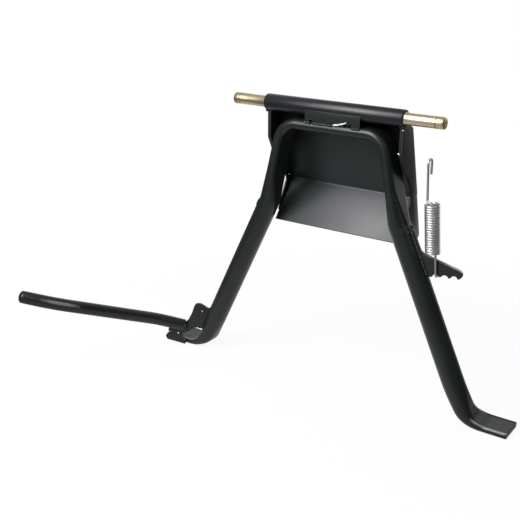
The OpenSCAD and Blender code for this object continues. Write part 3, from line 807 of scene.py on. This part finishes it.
def swept_rings(path, radii, sides, start):
    """Rings along a path whose frame never twists about it."""
    rings, normal = [], np.array(start, float)
    for k, p in enumerate(path):
        t = path[min(k + 1, len(path) - 1)] - path[max(k - 1, 0)]
        t = t / np.linalg.norm(t)
        normal = normal - (normal @ t) * t
        normal /= np.linalg.norm(normal)
        other = np.cross(t, normal)
        rings.append([p + radii[k] * (normal * math.cos(a) + other * math.sin(a))
                      for a in (2 * math.pi * i / sides for i in range(sides))])
    return rings


tip_run = lever_points[0] - lever_points[1]
tip_out = tip_run / np.linalg.norm(tip_run)
domed = [math.radians(a) for a in (86, 75, 60, 45, 30, 15)]
lever_path = [lever_points[0] + tip_out * (math.sin(a) - 1) * rod_r * 0.6 for a in domed]
outer_bend, inner_bend = eased(*lever_points[:3], 20, 24), eased(*lever_points[1:], 14, 16)
straight = [outer_bend[-1] + (inner_bend[0] - outer_bend[-1]) * k / 24 for k in range(1, 24)]
lever_path += outer_bend + straight + inner_bend + [lever_points[3]]
lever_radii = [rod_r * math.cos(a) for a in domed] + [rod_r] * (len(lever_path) - len(domed))
lever = lofted_piece("foot_lever_painted", swept_rings(lever_path, lever_radii, 56, (0, 0, 1)), leg_paint)
# a narrow patch on the outer bend, facing one direction, is bare steel as a painted highlight
highlight_facing = Vector((0.863, -0.304, 0.402))
paint_highlight_by_rule(lever, lambda x, y, z, n: 0.75 * smooth((n.dot(highlight_facing) - 0.955) / 0.04)
          * smooth((y + 172) / 16) * smooth((-128 - y) / 16))
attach(lever, "stand")
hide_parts("foot_lever")


# --- Weld seams ---
# Short weld seams hold the sheet parts, the lug, the bracket and the lever. Each is a row
# of ripples laid one on the next, painted over with the frame. Single drops of bright bare
# metal are painted glints, set on weld spots and one on the lever.
def ripple_seam():
    """A node tree that lays flattened ripples along lines of points."""
    tree = bpy.data.node_groups.new("weld ripples", "GeometryNodeTree")
    tree.interface.new_socket("Line", in_out="INPUT", socket_type="NodeSocketGeometry")
    for label, kind in (("Ripple step", "NodeSocketFloat"), ("Bead radius", "NodeSocketFloat"),
                        ("Seed", "NodeSocketInt"), ("Finish", "NodeSocketMaterial")):
        tree.interface.new_socket(label, in_out="INPUT", socket_type=kind)
    tree.interface.new_socket("Seam", in_out="OUTPUT", socket_type="NodeSocketGeometry")
    given, made = tree.nodes.new("NodeGroupInput"), tree.nodes.new("NodeGroupOutput")
    line, spots = tree.nodes.new("GeometryNodeMeshToCurve"), tree.nodes.new("GeometryNodeCurveToPoints")
    spots.mode = "LENGTH"
    drop, place = tree.nodes.new("GeometryNodeMeshIcoSphere"), tree.nodes.new("GeometryNodeInstanceOnPoints")
    drop.inputs["Subdivisions"].default_value, drop.inputs["Radius"].default_value = 2, 1.0
    uneven, size = tree.nodes.new("FunctionNodeRandomValue"), tree.nodes.new("ShaderNodeVectorMath")
    uneven.data_type = "FLOAT_VECTOR"
    uneven.inputs["Min"].default_value = (0.85, 0.85, 0.75)
    uneven.inputs["Max"].default_value = (1.15, 1.15, 0.95)
    size.operation = "SCALE"
    real, coat = tree.nodes.new("GeometryNodeRealizeInstances"), tree.nodes.new("GeometryNodeSetMaterial")
    for one, two in ((given.outputs["Line"], line.inputs["Mesh"]),
                     (line.outputs["Curve"], spots.inputs["Curve"]),
                     (given.outputs["Ripple step"], spots.inputs["Length"]),
                     (spots.outputs["Points"], place.inputs["Points"]),
                     (spots.outputs["Rotation"], place.inputs["Rotation"]),
                     (drop.outputs["Mesh"], place.inputs["Instance"]),
                     (given.outputs["Seed"], uneven.inputs["Seed"]),
                     (uneven.outputs["Value"], size.inputs[0]),
                     (given.outputs["Bead radius"], size.inputs["Scale"]),
                     (size.outputs["Vector"], place.inputs["Scale"]),
                     (place.outputs["Instances"], real.inputs["Geometry"]),
                     (real.outputs["Geometry"], coat.inputs["Geometry"]),
                     (given.outputs["Finish"], coat.inputs["Material"]),
                     (coat.outputs["Geometry"], made.inputs["Seam"])):
        tree.links.new(one, two)
    return tree


seam_tree = ripple_seam()
weld_paint = finish_of(
    "black paint on welds", paint_film,
    {"Tone": (0.010, 0.011, 0.012, 1), "Dust": 0.4, "Gloss": 0.2}, 0.0, 0.25, 0.0002)
# bright metal for the single drops: painted glints
painted_glint_metal = finish_of(
    "bright metal for painted glints", plated,
    {"Tone": (0.86, 0.86, 0.85, 1), "Cloud": (0.80, 0.80, 0.79, 1), "Tint": (0.80, 0.79, 0.77, 1),
     "Gloss": 0.16}, 1.0, 0.3, 0.0002)


def leg_flank(z, y=0.0, out=0.6):
    """A point on the right leg's outer flank at a height."""
    return (flank_x(z) + out, lug_y + y, z)


seams = [
    # crown plate to the crown
    [(-28.5, -9.0, -14.4), (-22.5, -9.2, -14.6)],
    [(-18.5, -8.9, -14.8), (3.0, -8.9, -14.8)],
    [(26.5, -8.9, -14.8), (34.0, -8.9, -14.8)],
    # ears and side walls to the pivot tube
    [(-79.4, -2.5, -8.6), (-79.4, 3.5, -8.0)],
    [(79.4, -2.5, -8.6), (79.4, 3.5, -8.0)],
    [(-74.6, -0.5, -8.8), (-74.6, 5.0, -7.4)],
    [(74.6, -0.5, -8.8), (74.6, 5.0, -7.4)],
    # lug to the leg, both faces
    [leg_flank(z, -lug_t / 2) for z in (-107, -120, -136, -154)],
    [leg_flank(z, lug_t / 2) for z in (-107, -120, -136, -154)],
    # lever to the bracket
    [(-187.5, -20.5, -288.0), (-184.0, -22.0, -283.0), (-183.5, -23.0, -277.5)],
]
weld_seams = grown("weld_seams", seams, seam_tree,
                   {"Ripple step": 0.0011, "Bead radius": 0.0015, "Seed": 4, "Finish": weld_paint})
painted_glint_spots = [
    # painted glints: crown plate, then ears and side wall, then bracket and lever
    [(-28.5, -9.2, -14.1), (-27.6, -9.3, -14.4)], [(-23.9, -9.2, -14.8), (-23.0, -9.4, -15.3)],
    [(5.4, -9.4, -13.8), (11.0, -9.2, -13.0), (15.5, -9.0, -11.6), (19.6, -8.9, -10.2)],
    [(78.9, -2.4, -11.3), (79.1, -2.2, -12.0)], [(75.3, -2.2, -34.9), (76.1, -2.1, -35.5)],
    [(-79.0, 1.6, -14.2), (-79.2, 1.8, -14.9)], [(-74.4, 34.0, -85.2), (-74.2, 35.0, -85.9)],
    [(-195.1, -22.4, -290.3), (-196.1, -21.6, -291.5)], [(-174.6, -10.7, -282.6), (-174.0, -10.3, -283.6)],
    [(-169.1, -7.4, -261.2), (-169.1, -7.2, -261.9)], [(-187.4, -18.4, -275.2), (-187.9, -18.2, -275.8)],
    [(-204.8, -27.6, -288.6), (-204.8, -27.4, -289.2)], [(-214.4, -35.3, -268.8), (-216.0, -37.2, -267.8)],
]
painted_glint_drops = grown("painted_glint_drops", painted_glint_spots, seam_tree,
                   {"Ripple step": 0.0008, "Bead radius": 0.0011, "Seed": 9, "Finish": painted_glint_metal})
for piece in (weld_seams, painted_glint_drops):
    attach(piece, "stand")


# --- Studio ---
# A strip of white paper runs under the stand and up behind it, and the room beside it is
# dim. One tall soft lamp with a bright middle stands above and to the left of the camera.
table_r, table_z = 2.6, -0.3074
strip_middle = -0.1
room_grey = (0.36, 0.38, 0.38)


def round_floor():
    """A large flat disc, just under the feet."""
    turns = np.linspace(0, 2 * math.pi, 97)[:-1]
    rim = [(table_r * math.cos(a), table_r * math.sin(a), table_z) for a in turns]
    mesh = bpy.data.meshes.new("table_top")
    mesh.from_pydata(rim, [], [tuple(range(len(rim)))])
    floor = bpy.data.objects.new("table_top", mesh)
    bpy.context.collection.objects.link(floor)
    return floor


def looks_at_it(tree):
    """The camera's rays, and the rays of the camera, of reflections and of glass together."""
    path = tree.nodes.new("ShaderNodeLightPath")
    rays = figure(tree, "MAXIMUM", path.outputs["Is Glossy Ray"], path.outputs["Is Transmission Ray"])
    return path.outputs["Is Camera Ray"], figure(tree, "MAXIMUM", path.outputs["Is Camera Ray"], rays)


def strip_with_shade(tree, parts, edge, rim, front, behind, beside):
    """Brightness along the strip from front to behind, dim beside it from edge to rim: the room's light in the
    world, painted shade on the table.
    """
    across = figure(tree, "ABSOLUTE", figure(tree, "SUBTRACT", parts["X"], strip_middle), 0.0)
    along = blend_colour(tree, remap(tree, parts["Y"], -0.4, 0.4), front, behind)
    return blend_colour(tree, remap(tree, across, edge, rim), along, beside)


def parts_of(tree, place):
    """X, Y and Z of a place or a direction."""
    node = tree.nodes.new("ShaderNodeSeparateXYZ")
    tree.links.new(place, node.inputs[0])
    return node.outputs


# The table is white to the camera. Reflections and bounced light see a strip on it that is
# painted darker towards the front and dim beside it: painted shade. A small share
# of plain surface keeps the stand's shadow near the feet and fades out further away.
floor = round_floor()
white_table = bpy.data.materials.new("white table")
white_table.use_nodes = True
tree = white_table.node_tree
tree.nodes.clear()
surface, glow = tree.nodes.new("ShaderNodeBsdfDiffuse"), tree.nodes.new("ShaderNodeEmission")
look, out = tree.nodes.new("ShaderNodeMixShader"), tree.nodes.new("ShaderNodeOutputMaterial")
by_camera, seen = looks_at_it(tree)
spot = tree.nodes.new("ShaderNodeTexCoord").outputs["Object"]
parts = parts_of(tree, spot)
# painted shade: the strip darker at the front and dim beside it, for bounced light and reflections
shaded = strip_with_shade(tree, parts, 0.22, 0.5, (0.4, 0.4, 0.4), (0.9, 0.9, 0.9), (0.2, 0.2, 0.2))
strip_glow = strip_with_shade(tree, parts, 0.18, 0.42, (0.36, 0.37, 0.37), (1.0, 1.0, 1.0), (0.12, 0.12, 0.12))
away = tree.nodes.new("ShaderNodeVectorMath")
away.operation = "LENGTH"
glow.inputs["Strength"].default_value = 1.0
tree.links.new(spot, away.inputs[0])
share = remap(tree, away.outputs["Value"], 0.3, 0.62, 0.92, 1.0)
tree.links.new(blend_colour(tree, seen, shaded, (0.96, 0.96, 0.96)), surface.inputs["Color"])
tree.links.new(blend_colour(tree, by_camera, strip_glow, (1, 1, 1)), glow.inputs["Color"])
tree.links.new(figure(tree, "MULTIPLY", seen, share), look.inputs["Fac"])
tree.links.new(surface.outputs["BSDF"], look.inputs[1])
tree.links.new(glow.outputs["Emission"], look.inputs[2])
tree.links.new(look.outputs["Shader"], out.inputs["Surface"])
floor.data.materials.append(white_table)

# The room is white to the camera, bright behind the stand and dim at its sides and above.
world = bpy.data.worlds.new("white room")
bpy.context.scene.world = world
world.use_nodes = True
tree = world.node_tree
tree.nodes.clear()
room, out = tree.nodes.new("ShaderNodeBackground"), tree.nodes.new("ShaderNodeOutputWorld")
by_camera, seen = looks_at_it(tree)
parts = parts_of(tree, tree.nodes.new("ShaderNodeTexCoord").outputs["Generated"])
above = remap(tree, parts["Z"], 0.25, 0.75)
around = strip_with_shade(tree, parts, 0.3, 0.8, (0.4, 0.43, 0.42), (0.9, 0.95, 0.94), (0.2, 0.21, 0.21))
around = blend_colour(tree, above, around, room_grey)
strip_glow = strip_with_shade(tree, parts, 0.4, 0.8, (0.3, 0.34, 0.33), (1.0, 1.0, 1.0), (0.08, 0.09, 0.09))
strip_glow = blend_colour(tree, above, strip_glow, room_grey)
strip_glow = blend_colour(tree, by_camera, strip_glow, (1, 1, 1))
tree.links.new(blend_colour(tree, seen, around, strip_glow), room.inputs["Color"])
room.inputs["Strength"].default_value = 1.0
tree.links.new(room.outputs["Background"], out.inputs["Surface"])


def soft_lamp(name, direction, distance, size, power, colour, aim=(0.0, 0.0, -0.12)):
    """An area lamp, wide and tall by its size, that looks at the stand from a direction."""
    lamp = bpy.data.lights.new(name, "AREA")
    lamp.shape, lamp.energy, lamp.color = "RECTANGLE", power, colour
    lamp.size, lamp.size_y = size
    held = bpy.data.objects.new(name, lamp)
    bpy.context.collection.objects.link(held)
    way = Vector(direction).normalized()
    held.location = Vector(aim) + way * distance
    held.rotation_euler = way.to_track_quat("Z", "Y").to_euler()


soft_lamp("tall softbox", (-0.30, -0.71, 0.64), 1.3, (0.85, 1.1), 17.0, (1.0, 0.985, 1.02))
soft_lamp("bright middle of the softbox", (-0.27, -0.72, 0.64), 1.28, (0.16, 0.2), 2.4,
          (1.0, 0.98, 0.98))

# the camera as fitted to the photograph's straight edges
focal_px, picture_px, film_w = 892.0, 520.0, 36.0
turn, fall = math.radians(34.7), math.radians(20.4)
camera = bpy.data.cameras.new("camera")
camera.lens, camera.sensor_width = film_w * focal_px / picture_px, film_w
eye = bpy.data.objects.new("camera", camera)
bpy.context.collection.objects.link(eye)
eye.location = (0.44828, -0.77755, 0.1711)
eye.rotation_euler = (math.radians(90) - fall, 0.0, turn)
bpy.context.scene.camera = eye
bpy.context.scene.view_settings.view_transform = "Standard"
